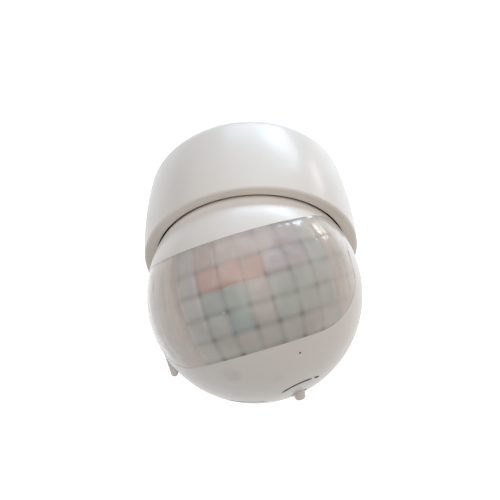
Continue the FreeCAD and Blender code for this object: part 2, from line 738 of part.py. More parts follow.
def rear_shell():
    shell = half_shell("rear_half", False)
    rods = bosses("rear_rods", "joint_boss_radius", "0", "ball_radius", ALONG_Y)
    posts = fuse("rear_posts", *[
        cylinder(
            "rear_post_%d" % i, "post_radius", "ball_radius", x, "board_place + board_thick",
            "post_height", ALONG_Y
        )
        for i, x in enumerate(("-" + POST_SIDE, POST_SIDE))
    ])
    supports = fuse("rear_supports", rods, posts)
    inside = common("rear_bosses", supports, sphere("rear_limit", "ball_radius - shell_wall / 2"))
    whole = fuse("rear_blank", shell, inside)
    holes = bosses("rear_holes", "screw_core + running_gap", "-1", "ball_radius", ALONG_Y)
    recesses = bosses(
        "rear_recesses", "screw_head_radius + running_gap", "joint_screw_seat", "ball_radius", ALONG_Y
    )
    pilots = fuse("post_pilots", *[
        cylinder(
            "post_pilot_%d" % i, "small_core + fit_gap", "small_length + 1", x, "board_place",
            "post_height", ALONG_Y
        )
        for i, x in enumerate(("-" + POST_SIDE, POST_SIDE))
    ])
    return cut(
        "rear_shell", whole, holes, recesses, pilots, tilt_slot(), knob_hole(
            "time_hole", "time_side", "time_front"
        )
    )


# The lens's inner face: flat facets on a grid of meridians and parallels, closed to the centre.
def facet_core():
    rows, columns = int(VALUE["facet_rows"]), int(VALUE["facet_columns"])
    radius = VALUE["ball_radius"] - VALUE["facet_inset"]

    def corner(column, row):
        turn = math.radians((column - columns / 2) * VALUE["facet_turn"])
        rise = math.radians((row - rows / 2) * VALUE["facet_rise"])
        flat = radius * math.cos(rise)
        return Vector(flat * math.sin(turn), -flat * math.cos(turn), radius * math.sin(rise))

    def face(*points):
        return Part.Face(Part.makePolygon(list(points) + [points[0]]))

    faces = []
    for column in range(columns):
        for row in range(rows):
            lower = (corner(column, row), corner(column + 1, row))
            upper = (corner(column + 1, row + 1), corner(column, row + 1))
            faces.append(face(*lower, *upper))
        faces.append(face(Vector(), corner(column + 1, 0), corner(column, 0)))
        faces.append(face(Vector(), corner(column, rows), corner(column + 1, rows)))
    for row in range(rows):
        faces.append(face(Vector(), corner(0, row), corner(0, row + 1)))
        faces.append(face(Vector(), corner(columns, row + 1), corner(columns, row)))
    core = doc.addObject("Part::Feature", "facet_core")
    core.Shape = Part.Solid(Part.Shell(faces))
    return core


def lens():
    blank = common(
        "lens_blank", window_block("lens_block", "-fit_gap * 3"), sphere("lens_outside", "ball_radius")
    )
    inner = sphere("lens_inside", "ball_radius - shell_wall + ledge_thick + fit_gap")
    return cut("lens", blank, inner, facet_core(), seam_block("lens_seam", "fit_gap"))


def knob(name, side, front):
    part = turned(name + "_body", [
        ("0", "-" + KNOB_TIP),
        ("knob_tip_radius", "-" + KNOB_TIP),
        ("knob_radius", "knob_taper - " + KNOB_TIP),
        ("knob_radius", "knob_length - " + KNOB_TIP),
        ("knob_stem_radius", "knob_length - " + KNOB_TIP),
        ("knob_stem_radius", "-(%s + trimmer_height + fit_gap)" % CONTROL_LOW),
        ("0", "-(%s + trimmer_height + fit_gap)" % CONTROL_LOW),
    ])
    rounded(part, name + "_round", "knob_round", lambda edge: lowest_circle(edge, part))
    slot_size = ("knob_slot_length", "knob_slot_width", "2 * knob_slot_depth")
    slot = block(name + "_slot", slot_size, ("0", "0", "-" + KNOB_TIP))
    blank = cut(name + "_blank", part, slot)
    return at(blank, side, "-(%s)" % front)


def joint_screws():
    screws = [
        screw("joint_screw_%d" % i, "joint_screw_length", x, "joint_screw_seat", z, ALONG_Y)
        for i, (x, z) in enumerate(boss_places())
    ]
    return fuse("shell_screws", *screws)


def board_screws():
    screws = []
    for i, x in enumerate(("-" + POST_SIDE, POST_SIDE)):
        front = "board_place - small_head_height"
        length = "small_length + small_head_height"
        head = cylinder(
            "board_screw_head_%d" % i, "small_head", "small_head_height", x, front, "post_height", ALONG_Y
        )
        shank = cylinder("board_screw_shank_%d" % i, "small_core", length, x, front, "post_height", ALONG_Y)
        slot_size = ("1.4 * small_head", "0.8 * small_head_height", "0.3 * small_head")
        slot = block("board_screw_slot_%d" % i, slot_size, (x, front, "post_height"))
        screws.append(cut("board_screw_%d" % i, fuse("board_screw_blank_%d" % i, head, shank), slot))
    return fuse("board_screws", *screws)


def main_board():
    disc = cylinder("board_disc", BOARD_RADIUS, "board_thick", y="board_place", turn=ALONG_Y)
    size = ("2 * " + BOARD_RADIUS, "2 * board_thick", BOARD_RADIUS)
    middle = ("0", "board_place + board_thick / 2", "-%s - %s / 2" % (BOARD_BOTTOM, BOARD_RADIUS))
    holes = [
        cylinder(
            "board_hole_%d" % i, "small_core + running_gap", "small_length", x, "0", "post_height", ALONG_Y
        )
        for i, x in enumerate(("-" + POST_SIDE, POST_SIDE))
    ]
    return cut("main_board", disc, block("board_trim", size, middle), *holes)


def sensor_holder():
    wall = cylinder("holder_outer", "holder_radius", "holder_height", y="board_place", turn=AGAINST_Y)
    bore = cylinder(
        "holder_bore", "can_radius - 0.8", "3 * holder_height", y="2 * holder_height", turn=AGAINST_Y
    )
    return cut("sensor_holder", wall, bore)


def pyro_sensor():
    place = "board_place - holder_height"
    flange = cylinder("can_flange", "can_radius + 0.4", "0.6", y=place, turn=AGAINST_Y)
    can = cylinder("can_body", "can_radius", "can_height", y=place, turn=AGAINST_Y)
    size = ("can_window_width", "2 * can_window_thick", "can_window_height")
    window = block("can_window", size, ("0", "%s - can_height" % place, "0"))
    return cut("pyro_sensor", fuse("can_blank", flange, can), window)


def pyro_window():
    size = ("can_window_width - 0.1", "can_window_thick", "can_window_height - 0.1")
    middle = ("0", "board_place - holder_height - can_height + can_window_thick / 2", "0")
    return block("pyro_window", size, middle)


def relay():
    part = body("relay")
    face = outline(part, "relay_outline", "XZ_Plane", [
        ("-relay_length", "-relay_width / 2"),
        ("0", "-relay_width / 2"),
        ("0", "relay_width / 2"),
        ("-relay_length", "relay_width / 2"),
    ])
    pad(part, "relay_pad", face, "relay_height", True)
    rounded(part, "relay_round", "0.8", lambda edge: edge.BoundBox.YMin > VALUE["relay_height"] - 0.01)
    return at(part, "5", "board_place + board_thick", "-2")


def capacitor():
    part = turned("capacitor", [
        ("0", "0"),
        ("capacitor_radius", "0"),
        ("capacitor_radius", "2"),
        ("capacitor_radius - 0.4", "2.6"),
        ("capacitor_radius", "3.2"),
        ("capacitor_radius", "capacitor_height"),
        ("0", "capacitor_height"),
    ])
    return at(part, "13", "board_place + board_thick", "-3", ALONG_Y)


def control_board():
    size = ("2 * " + CONTROL_HALF, "control_front + control_back", "board_thick")
    middle = ("0", "(control_back - control_front) / 2", "board_thick / 2 - " + CONTROL_LOW)
    return block("control_board", size, middle)


def trimmers():
    cases = []
    for name, side, front in (("light", "light_side", "light_front"), ("time", "time_side", "time_front")):
        size = ("trimmer_size", "trimmer_size", "trimmer_height")
        cases.append(
            block(name + "_trimmer", size, (side, "-(%s)" % front, "-%s - trimmer_height / 2" % CONTROL_LOW))
        )
    return fuse("trimmers", *cases)


def indicator_led():
    height = "led_rise - " + BOARD_BOTTOM
    rod = cylinder(
        "led_rod", "led_radius", "led_height - led_radius", y="board_place", z=height, turn=AGAINST_Y
    )
    dome = doc.addObject("Part::Sphere", "led_dome")
    bind(dome, Radius="led_radius")
    at(dome, y="board_place - led_height + led_radius", z=height)
    rim = cylinder("led_rim", "1.3 * led_radius", "led_radius / 2", y="board_place", z=height, turn=AGAINST_Y)
    return fuse("indicator_led", rod, dome, rim)


# A piece that has a place of its own within its frame keeps it when the frame is applied.
def within(frame, thing):
    return frame * thing.Placement


def build():
    node(base_housing(), "base_housing", TO_WALL)
    node(wall_plate(), "wall_plate", TO_WALL)
    lock = screw("lock_screw", "lock_length", y="-" + LOCK_SEAT, z="lock_height", turn=AGAINST_Y)
    place(lock, "lock_screw", TO_WALL)
    place(cable_grommet(), "cable_grommet", TO_WALL)
    node(terminal_block(), "terminal_block", TO_WALL)
    node(terminal_screws(), "terminal_screws", TO_WALL)
    ring_low = "ball_radius + running_gap"
    ring_high = "ball_radius + seat_gap + ring_depth - fit_gap"
    node(ring_space("friction_ring", "fit_gap", ring_low, ring_high), "friction_ring", TO_WALL)
    node(pivot_bolt(), "pivot_bolt", TO_CARRIER)
    node(clamp_saddle(), "clamp_saddle", TO_CARRIER)
    node(spring_washer(), "spring_washer", TO_CARRIER)
    nut = at(clamp_nut(), z=NUT_LOW)
    place(nut, "clamp_nut", TO_CARRIER)
    node(front_shell(), "front_shell", TO_HEAD)
    node(rear_shell(), "rear_shell", TO_HEAD)
    node(lens(), "lens", TO_HEAD)
    node(joint_screws(), "shell_screws", TO_HEAD)
    node(main_board(), "main_board", TO_HEAD)
    node(board_screws(), "board_screws", TO_HEAD)
    node(sensor_holder(), "sensor_holder", TO_HEAD)
    node(pyro_sensor(), "pyro_sensor", TO_HEAD)
    place(pyro_window(), "pyro_window", TO_HEAD)
    place(relay(), "relay", TO_HEAD)
    place(capacitor(), "capacitor", TO_HEAD)
    place(control_board(), "control_board", TO_HEAD)
    node(trimmers(), "trimmers", TO_HEAD)
    node(indicator_led(), "indicator_led", TO_HEAD)
    place(knob("light_knob", "light_side", "light_front"), "light_knob", TO_HEAD)
    place(knob("time_knob", "time_side", "time_front"), "time_knob", TO_HEAD)


# A node whose own place is bound to the sheet is worked out first and then set in its frame.
def place(thing, label, frame):
    doc.recompute()
    for axis in ("x", "y", "z"):
        thing.setExpression("Placement.Base." + axis, None)
    return node(thing, label, within(frame, thing))


build()
doc.recompute()
for thing in doc.Objects:
    if "Invalid" in thing.State or "Error" in thing.State:
        raise RuntimeError("%s did not rebuild: %s" % (thing.Name, thing.State))
for thing in nodes:
    if thing.Shape.isNull() or not thing.Shape.isValid() or not thing.Shape.Solids:
        raise RuntimeError("%s is not a valid solid" % thing.Label)
for thing in nodes:
    thing.Shape.exportStep("parts/%s.step" % thing.Label)
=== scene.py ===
import math

import bpy
from mathutils import Matrix, Vector, noise

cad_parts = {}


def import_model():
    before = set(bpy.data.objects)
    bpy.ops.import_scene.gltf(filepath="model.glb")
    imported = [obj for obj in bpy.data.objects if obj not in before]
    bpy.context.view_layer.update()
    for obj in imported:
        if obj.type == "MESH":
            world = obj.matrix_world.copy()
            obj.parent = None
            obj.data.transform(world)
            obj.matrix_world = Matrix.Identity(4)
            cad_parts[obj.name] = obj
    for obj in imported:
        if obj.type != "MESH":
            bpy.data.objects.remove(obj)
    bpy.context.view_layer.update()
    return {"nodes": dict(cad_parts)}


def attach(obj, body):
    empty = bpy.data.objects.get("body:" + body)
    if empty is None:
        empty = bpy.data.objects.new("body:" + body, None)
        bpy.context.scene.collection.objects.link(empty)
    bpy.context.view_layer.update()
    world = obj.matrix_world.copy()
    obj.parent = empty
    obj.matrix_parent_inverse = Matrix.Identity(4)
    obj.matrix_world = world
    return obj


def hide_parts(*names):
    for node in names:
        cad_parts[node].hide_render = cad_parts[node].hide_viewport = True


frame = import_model()

# Sizes in metres. The skins follow the CAD's outer faces to within about half a millimetre.
BALL = 0.038
BALL_DISTANCE = 0.054
SHELL_WALL = 0.0022
CUP_DEPTH = 0.0391
RIM_RADIUS = 0.03937
RIM_ROUND = 0.0010
BACK_ROUND = 0.0094
BACK_FLAT = 0.02878
BACK_EDGE = (0.0280, 0.0001)
CUP_SWELL, CUP_DROP = 0.00472, 0.00343
LIP_FACE = [(0.0376, 0.0388), (0.0363, 0.0385)]
LIP_INNER, LIP_HEIGHT, LIP_ROUND = 0.0350, 0.0378, 0.0006
DISH_RADIUS = 0.0384
WINDOW_TOP = 0.0183
WINDOW_BOTTOM = -0.0175
WINDOW_SEAM = 0.0046
WINDOW_HALF_TOP = 0.0366
WINDOW_HALF_BOTTOM = 0.0350
ROUND_TOP = 0.0085
ROUND_BOTTOM = 0.0150
COLUMNS = 15
ROWS = 5
CELL_TURN = 11.0
CELL_RISE = 10.8
LIGHT_KNOB = (0.0064, -0.0106)
TIME_KNOB = (-0.0095, 0.0096)
KNOB_HOLE = 0.00275
LOCK_HOLE = (0.0, -0.0080)
LOCK_RADIUS = 0.00310
LOCK_DEPTH = 0.0026
PEG_PLACE = (-0.0342, -0.0066)
PEG_SIDE = [(0.0018, -0.0100), (0.00166, -0.0130), (0.00148, -0.0160), (0.00132, -0.0184)]
PEG_TIP, PEG_TIP_ROUND = -0.01848, 0.00130
PRINT_LIFT = 0.00004
PILLOW = 0.00006
LENS_GAP = 0.00002
# The lens's face sinks over the first of these widths at its rim. Over the second it carries painted shade along
# its upper rim and painted light along its lower rim.
EDGE_SINK, EDGE_SHADE = 0.0007, 0.0004
# How far a spot on the ball stands proud in its middle and at its edge.
SPOT_MIDDLE, SPOT_EDGE = 0.00010, 0.00001
# The front skin stops just short of the shells' seam and of the ball's poles, in degrees.
SEAM_TURN, POLE_RISE = 89.85, 89.95


def turn(axis, degrees):
    return Matrix.Rotation(math.radians(degrees), 4, axis)


# The head's own frame: the lens faces -Y, +Z is up and the origin is the ball's centre.
HEAD = Matrix.Translation((0, -BALL_DISTANCE, 0)) @ turn("Y", -13.2) @ turn("X", -57.5) @ turn("Y", -6.7)
WALL = turn("X", 90)


# Colours are written as the screen shows them.
def tone(red, green, blue):
    def linear(value):
        value /= 255
        return value / 12.92 if value <= 0.04045 else ((value + 0.055) / 1.055) ** 2.4
    return (linear(red), linear(green), linear(blue), 1.0)


def smooth(low, high, value):
    t = max(0.0, min(1.0, (value - low) / (high - low)))
    return t * t * (3 - 2 * t)


# Materials

DIRT = tone(120, 112, 108)


class Paint:
    def __init__(self, name):
        self.material = bpy.data.materials.new(name)
        self.material.use_nodes = True
        self.tree = self.material.node_tree
        self.shader = self.tree.nodes["Principled BSDF"]
        self.place = self.tree.nodes.new("ShaderNodeTexCoord").outputs["Object"]

    def set(self, **values):
        for name, value in values.items():
            self.shader.inputs[name.replace("_", " ").title().replace("Ior", "IOR")].default_value = value
        return self

    def noise(self, scale, detail=4.0, rough=0.5, stretch=None):
        node = self.tree.nodes.new("ShaderNodeTexNoise")
        node.inputs["Scale"].default_value = scale
        node.inputs["Detail"].default_value = detail
        node.inputs["Roughness"].default_value = rough
        place = self.place
        if stretch:
            mapping = self.tree.nodes.new("ShaderNodeMapping")
            mapping.inputs["Scale"].default_value = stretch
            self.tree.links.new(place, mapping.inputs["Vector"])
            place = mapping.outputs["Vector"]
        self.tree.links.new(place, node.inputs["Vector"])
        return node.outputs["Fac"]

    def ramp(self, source, stops):
        node = self.tree.nodes.new("ShaderNodeValToRGB")
        while len(node.color_ramp.elements) < len(stops):
            node.color_ramp.elements.new(0.5)
        for element, (place, colour) in zip(node.color_ramp.elements, stops):
            element.position = place
            element.color = colour
        self.tree.links.new(source, node.inputs["Fac"])
        return node.outputs["Color"]

    def span(self, source, low, high):
        node = self.tree.nodes.new("ShaderNodeMapRange")
        node.inputs["To Min"].default_value = low
        node.inputs["To Max"].default_value = high
        self.tree.links.new(source, node.inputs["Value"])
        return node.outputs["Result"]

    # A faint patch of dirt round a place, broken up by noise.
    def smudge(self, colour, place, reach, depth):
        mapping = self.tree.nodes.new("ShaderNodeMapping")
        mapping.inputs["Location"].default_value = [-value / reach for value in place]
        mapping.inputs["Scale"].default_value = [1 / reach] * 3
        gradient = self.tree.nodes.new("ShaderNodeTexGradient")
        gradient.gradient_type = "SPHERICAL"
        amount = self.tree.nodes.new("ShaderNodeMath")
        amount.operation = "MULTIPLY"
        self.tree.links.new(self.place, mapping.inputs["Vector"])
        self.tree.links.new(mapping.outputs["Vector"], gradient.inputs["Vector"])
        self.tree.links.new(gradient.outputs["Fac"], amount.inputs[0])
        broken = self.span(self.noise(420.0, 5.0, 0.6), -0.6 * depth, 2.4 * depth)
        self.tree.links.new(broken, amount.inputs[1])
        mix = self.tree.nodes.new("ShaderNodeMix")
        mix.data_type = "RGBA"
        self.tree.links.new(amount.outputs["Value"], mix.inputs["Factor"])
        self.tree.links.new(colour, mix.inputs["A"])
        mix.inputs["B"].default_value = DIRT
        return mix.outputs["Result"]

    def link(self, source, name):
        self.tree.links.new(source, self.shader.inputs[name])
        return self

    def bump(self, source, depth, strength=1.0):
        node = self.tree.nodes.new("ShaderNodeBump")
        node.inputs["Distance"].default_value = depth
        node.inputs["Strength"].default_value = strength
        self.tree.links.new(source, node.inputs["Height"])
        self.tree.links.new(node.outputs["Normal"], self.shader.inputs["Normal"])
        return self


# Moulded plastic: a slow drift of colour, a fine grain and uneven gloss.
def plastic(name, light, dark, rough=(0.34, 0.42), grain=0.00002, coat=0.0, marks=()):
    paint = Paint(name)
    colour = paint.ramp(paint.noise(38.0, 5.0), [(0.35, dark), (0.65, light)])
    for place, reach, depth in marks:
        colour = paint.smudge(colour, place, reach, depth)
    paint.link(colour, "Base Color")
    paint.link(paint.span(paint.noise(160.0, 3.0), *rough), "Roughness")
    paint.bump(paint.noise(1500.0, 3.0), grain)
    paint.set(coat_weight=coat, coat_roughness=0.15, specular_ior_level=0.4)
    return paint.material


def metal(name, light, dark, rough=(0.25, 0.45), stretch=(1, 1, 1)):
    paint = Paint(name)
    paint.link(paint.ramp(paint.noise(300.0, 6.0, 0.6, stretch), [(0.3, dark), (0.7, light)]), "Base Color")
    paint.link(paint.span(paint.noise(700.0, 4.0, 0.6, stretch), *rough), "Roughness")
    paint.bump(paint.noise(1200.0, 3.0, 0.6, stretch), 0.00002)
    paint.set(metallic=1.0)
    return paint.material


def circuit(name):
    paint = Paint(name)
    cells = paint.tree.nodes.new("ShaderNodeTexVoronoi")
    cells.inputs["Scale"].default_value = 420.0
    paint.tree.links.new(paint.place, cells.inputs["Vector"])
    stops = [(0.1, tone(120, 140, 96)), (0.22, tone(36, 92, 54)), (0.7, tone(28, 78, 46))]
    paint.link(paint.ramp(cells.outputs["Distance"], stops), "Base Color")
    paint.link(paint.span(paint.noise(500.0), 0.3, 0.5), "Roughness")
    paint.bump(cells.outputs["Distance"], 0.00005)
    return paint.material


WHITE = plastic("white_shell", tone(238, 234, 230), tone(232, 228, 224), coat=0.15)
FRONT = plastic("white_front", tone(238, 234, 230), tone(232, 228, 224), coat=0.15, marks=[
    (HEAD @ Vector((-0.0097, -0.0289, -0.0227)), 0.0042, 0.22),
    (HEAD @ Vector((0.0030, -0.0262, -0.0274)), 0.0030, 0.07),
])
# The lip is a lighter copy of the cup's white plastic, so it carries painted light; its matte finish is its own.
LIP_PAINTED_LIGHT = plastic("matte_lip_painted_light", tone(250, 246, 240), tone(245, 240, 233), rough=(0.42, 0.55), grain=0.00004)
# The dish is painted dark: painted shade for the deep shadow in the gap behind the ball.
DISH_SHADE = plastic("dish_wall", tone(66, 62, 60), tone(52, 49, 47), rough=(0.6, 0.75), grain=0.00004)
PALE = plastic("pale_plastic", tone(222, 220, 214), tone(213, 211, 204), rough=(0.45, 0.6), grain=0.00004)
INSIDE = plastic("inner_wall", tone(206, 201, 196), tone(196, 191, 185), rough=(0.55, 0.7), grain=0.00005)
STEEL = metal("zinc_steel", tone(196, 197, 200), tone(160, 162, 166))
BRASS = metal("brass", tone(206, 172, 98), tone(172, 138, 72))
RUBBER = plastic("rubber", tone(46, 45, 45), tone(34, 33, 33), rough=(0.7, 0.85), grain=0.00008)
BOARD = circuit("circuit_board")
DARK = plastic("dark_plastic", tone(44, 44, 48), tone(32, 32, 36), rough=(0.4, 0.55), grain=0.00005)
SLEEVE = plastic("capacitor_sleeve", tone(58, 66, 92), tone(44, 50, 74), rough=(0.2, 0.35))
BLUE = plastic("trimmer_case", tone(60, 96, 160), tone(48, 80, 140), rough=(0.35, 0.5))
RED = plastic("lamp_dome", tone(190, 54, 44), tone(168, 40, 34), rough=(0.08, 0.15))
SEAM = plastic("lens_joint", tone(200, 195, 190), tone(188, 183, 178), rough=(0.5, 0.65))
INK = plastic("grey_ink", tone(88, 84, 84), tone(66, 62, 62), rough=(0.55, 0.7), grain=0.00001)
SPECK = plastic("speck", tone(70, 66, 64), tone(52, 48, 46), rough=(0.6, 0.75), grain=0.00002)

NODE_PAINT = {
    "wall_plate": PALE, "sensor_holder": PALE, "terminal_block": PALE, "rear_shell": WHITE,
    "light_knob": WHITE, "time_knob": WHITE, "lock_screw": STEEL, "pivot_bolt": STEEL,
    "clamp_saddle": STEEL, "spring_washer": STEEL, "clamp_nut": STEEL, "shell_screws": STEEL,
    "board_screws": STEEL, "pyro_sensor": STEEL, "cable_grommet": RUBBER, "friction_ring": RUBBER,
    "terminal_screws": BRASS, "main_board": BOARD, "control_board": BOARD, "pyro_window": DARK,
    "relay": DARK, "capacitor": SLEEVE, "trimmers": BLUE, "indicator_led": RED,
}
for name, paint in NODE_PAINT.items():
    mesh = frame["nodes"][name].data
    mesh.materials.clear()
    mesh.materials.append(paint)


# Pieces

def piece(name, points, faces, paint, body, normals=None, tints=None):
    used = sorted({k for face in faces for k in face})
    order = {k: i for i, k in enumerate(used)}
    mesh = bpy.data.meshes.new(name)
    mesh.from_pydata([tuple(points[k]) for k in used], [], [[order[k] for k in face] for face in faces])
    mesh.materials.append(paint)
    mesh.shade_smooth()
    if normals:
        mesh.normals_split_custom_set_from_vertices([tuple(normals[k]) for k in used])
    if tints:
        layer = mesh.color_attributes.new("tint", "FLOAT_COLOR", "POINT")
        layer.data.foreach_set("color", [value for k in used for value in tints[k]])
    thing = bpy.data.objects.new(name, mesh)
    bpy.context.scene.collection.objects.link(thing)
    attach(thing, body)
    return thing


# Quads between the points of a grid, given row by row; a closed grid also joins its last column to its first.
def grid_faces(rows, columns, start=0, closed=False):
    faces = []
    for j in range(rows - 1):
        for i in range(columns if closed else columns - 1):
            near, far = start + j * columns, start + (j + 1) * columns
            k = (i + 1) % columns
            faces.append((near + i, near + k, far + k, far + i))
    return faces


# A direction from the head's centre: across is to the right and up is up, in degrees.
def toward(across, up):
    a, b = math.radians(across), math.radians(up)
    return Vector((math.cos(b) * math.sin(a), -math.cos(b) * math.cos(a), math.sin(b)))


# A round hole along Z in a skin: faces inside it go and the points at its edge move onto its circle.
def punch(points, faces, local, centre, radius, low):
    inside, back = set(), local.inverted()
    for k, point in enumerate(points):
        spot = back @ point
        away = Vector((spot.x - centre[0], spot.y - centre[1]))
        if spot.z < 0 and away.length < radius:
            inside.add(k)
            away *= radius / max(away.length, 0.000001)
            x, y = centre[0] + away.x, centre[1] + away.y
            points[k] = local @ Vector((x, y, low(x, y)))
    faces[:] = [face for face in faces if not all(k in inside for k in face)]


# The wall of such a hole, from the skin straight inwards.
def hole_wall(name, local, centre, radius, depth, low, paint, body, count=72):
    points = []
    for rise in (0.0, depth / 2, depth):
        for i in range(count):
            angle = 2 * math.pi * i / count
            x, y = centre[0] + radius * math.cos(angle), centre[1] + radius * math.sin(angle)
            points.append(local @ Vector((x, y, low(x, y) + rise)))
    return piece(name, points, grid_faces(3, count, closed=True), paint, body)


def arc(centre, radius, start, end, count):
    angles = [math.radians(start + (end - start) * i / (count - 1)) for i in range(count)]
    return [(centre[0] + radius * math.cos(a), centre[1] + radius * math.sin(a)) for a in angles]


# The cup: a turned skin with a soft bulge, a rounded lip and the dish that holds the ball.
# Its profiles are rows of (radius, height above the wall).
def cup_profile():
    line = [BACK_EDGE] + arc((BACK_FLAT, BACK_ROUND), BACK_ROUND, -90, -8.8, 48)
    side, low, high = line[-1][0], line[-1][1], CUP_DEPTH - RIM_ROUND
    steps = 72
    for i in range(1, steps):
        t = i / steps
        line.append((side + CUP_SWELL * t - CUP_DROP * t * t, low + (high - low) * t))
    return line + arc((RIM_RADIUS - RIM_ROUND, high), RIM_ROUND, 0, 72, 8)


def lip_profile():
    return [cup_profile()[-1]] + LIP_FACE + arc((LIP_INNER + LIP_ROUND, LIP_HEIGHT), LIP_ROUND, 90, 180, 6)


# The dish goes in from the lip's inner edge, close behind the ball, and stops short of the cup's axis.
def dish_profile():
    line = [lip_profile()[-1]]
    steps, last = 36, 29
    for i in range(1, last + 1):
        angle = math.asin(LIP_INNER / DISH_RADIUS) * (1 - i / steps)
        line.append((DISH_RADIUS * math.sin(angle), BALL_DISTANCE - DISH_RADIUS * math.cos(angle)))
    return line


def turned(name, line, paint, body, segments=384, hole=None):
    points = []
    for radius, height in line:
        for i in range(segments):
            angle = 2 * math.pi * i / segments
            points.append(WALL @ Vector((radius * math.cos(angle), radius * math.sin(angle), height)))
    faces = grid_faces(len(line), segments, closed=True)
    if hole:
        punch(points, faces, Matrix(), *hole)
    return piece(name, points, faces, paint, body)


# The cup's lowest point at a place of the X-Y plane.
def cup_low(x, y):
    line = cup_profile()
    for (radius, height), (further, higher) in zip(line, line[1:]):
        if height <= -y <= higher:
            reach = radius + (further - radius) * (-y - height) / (higher - height)
            return -math.sqrt(reach ** 2 - x ** 2)
    raise ValueError("outside the cup")


# Half the lens window's width at a height above the head's centre.
def window_half(z, margin=0.0):
    top, bottom = WINDOW_TOP + margin, WINDOW_BOTTOM - margin
    high, low = ROUND_TOP + margin, ROUND_BOTTOM + margin
    t = (z - bottom) / (top - bottom)
    half = WINDOW_HALF_BOTTOM + (WINDOW_HALF_TOP - WINDOW_HALF_BOTTOM) * t + margin
    if z > top - high:
        half -= high - math.sqrt(max(0.0, high ** 2 - (z - top + high) ** 2))
    if z < bottom + low:
        half -= low - math.sqrt(max(0.0, low ** 2 - (bottom + low - z) ** 2))
    return half


def window_turn(z, margin=0.0):
    flat = math.sqrt(BALL ** 2 - z ** 2)
    reach = math.sqrt(flat ** 2 - (WINDOW_SEAM - margin) ** 2)
    return math.degrees(math.asin(min(window_half(z, margin), reach) / flat))


# Heights through the window, closer together towards its upper and lower edges.
def window_heights(count, margin=0.0):
    top, bottom = WINDOW_TOP + margin, WINDOW_BOTTOM - margin
    return [bottom + (top - bottom) * (1 - math.cos(math.pi * j / (count - 1))) / 2 for j in range(count)]


# The ball's lowest point at a place of the head's X-Y plane.
def ball_low(x, y):
    return -math.sqrt(BALL ** 2 - x ** 2 - y ** 2)


# The front half of the ball, with the lens window and the light knob's hole left open.
def front_skin():
    points, faces, normals = [], [], []

    # A part of the ball between two turns that may change with the height.
    def patch(heights, low, high, columns):
        start = len(points)
        for z in heights:
            up = math.degrees(math.asin(max(-1.0, min(1.0, z / BALL))))
            first, last = low(z), high(z)
            for i in range(columns):
                normal = toward(first + (last - first) * i / (columns - 1), up)
                points.append(HEAD @ (normal * BALL))
                normals.append(HEAD.to_3x3() @ normal)
        faces.extend(grid_faces(len(heights), columns, start))

    heights = window_heights(120)
    patch(heights, lambda z: -SEAM_TURN, lambda z: -window_turn(z), 50)
    patch(heights, window_turn, lambda z: SEAM_TURN, 50)
    upper = math.degrees(math.asin(WINDOW_TOP / BALL))
    lower = math.degrees(math.asin(WINDOW_BOTTOM / BALL))
    for first, last, rows, columns in ((upper, POLE_RISE, 50, 160), (-POLE_RISE, lower, 200, 300)):
        cap = [BALL * math.sin(math.radians(first + (last - first) * j / rows)) for j in range(rows + 1)]
        patch(cap, lambda z: -SEAM_TURN, lambda z: SEAM_TURN, columns)
    punch(points, faces, HEAD, LIGHT_KNOB, KNOB_HOLE, ball_low)
    return piece("front_skin", points, faces, FRONT, "head", normals)


# The wall of the lens rebate, seen as a fine line round the lens.
def rebate_wall():
    heights = window_heights(160)
    ring = [(window_turn(z), z) for z in heights] + [(-window_turn(z), z) for z in reversed(heights)]
    points = []
    for depth in (0.0, SHELL_WALL):
        for across, z in ring:
            points.append(HEAD @ (toward(across, math.degrees(math.asin(z / BALL))) * (BALL - depth)))
    return piece("rebate_wall", points, grid_faces(2, len(ring), closed=True), SEAM, "head")


# The lens: pillows on a grid, tinted by what lies behind each facet. Its angles are in degrees.
def cell_of(across, up):
    column = max(0, min(COLUMNS - 1, int(across / CELL_TURN + COLUMNS / 2)))
    row = max(0, min(ROWS - 1, int(up / CELL_RISE + ROWS / 2)))
    return column, row


def cell_middle(column, row):
    return (column + 0.5 - COLUMNS / 2) * CELL_TURN, (row + 0.5 - ROWS / 2) * CELL_RISE


# How far an angle is inside a band: 1 in its middle and 0 outside, with soft ends.
def band(value, low, high, soft=2.0):
    return smooth(low - soft, low + soft, value) * (1 - smooth(high - soft, high + soft, value))


# 1 on a line and falling off beside it.
def line_at(value, place, width):
    return math.exp(-((value - place) / width) ** 2)


CREAM = Vector(tone(212, 203, 196)[:3])
GREEN = Vector(tone(201, 203, 200)[:3])
TEAL = Vector(tone(184, 194, 190)[:3])
PEACH = Vector(tone(209, 187, 179)[:3])
LILAC = Vector(tone(207, 201, 202)[:3])
ROSE = Vector(tone(202, 194, 193)[:3])
GREY = Vector(tone(208, 205, 204)[:3])

# Tints laid over one another: how strong, across from and to, and up from and to. A third number says how soft the
# ends are where they aren't as soft as usual.
FACET_TINTS = [
    (TEAL, 0.95, (-5.5, 5.5), (-16.2, -5.4)),
    (TEAL, 0.55, (-16.5, 5.5), (-5.4, 5.4)),
    (TEAL, 0.25, (16.5, 49.5), (-16.2, 5.4)),
    (LILAC, 0.9, (16.5, 38.5), (5.4, 16.2)),
    (GREY, 0.8, (-27.5, -16.5), (-6, 30)),
    (ROSE, 0.85, (-16.5, 40, 6), (16, 90, 1)),
    (PEACH, 1.0, (-16.5, 16.5), (5.4, 16.2)),
    (PEACH, 0.28, (-16.5, 16.5, 8), (16, 90, 1)),
    (PEACH, 0.26, (5.5, 16.5), (-16.2, 5.4)),
]
# Pale upright lines of painted highlight on the lens: how pale, where across, how wide, and up from and to.
GLINT_LINES = [
    (0.13, -17.8, 0.9, (-10, 14)),
    (0.13, -27.2, 1.1, (-26, 12)),
    (0.08, 48.8, 1.2, (-14, 22)),
    (0.07, -33.5, 1.0, (-90, 90)),
]
DEEP_LEFT, DEEP_RIGHT = -27.5, 49.5


# How much of the dark inside shows through, from 0 beside the boards to 1 in front of them.
def depth_at(across, up):
    return band(across, DEEP_LEFT, DEEP_RIGHT, 3.0) * (1 - 0.55 * smooth(14, 18, up))


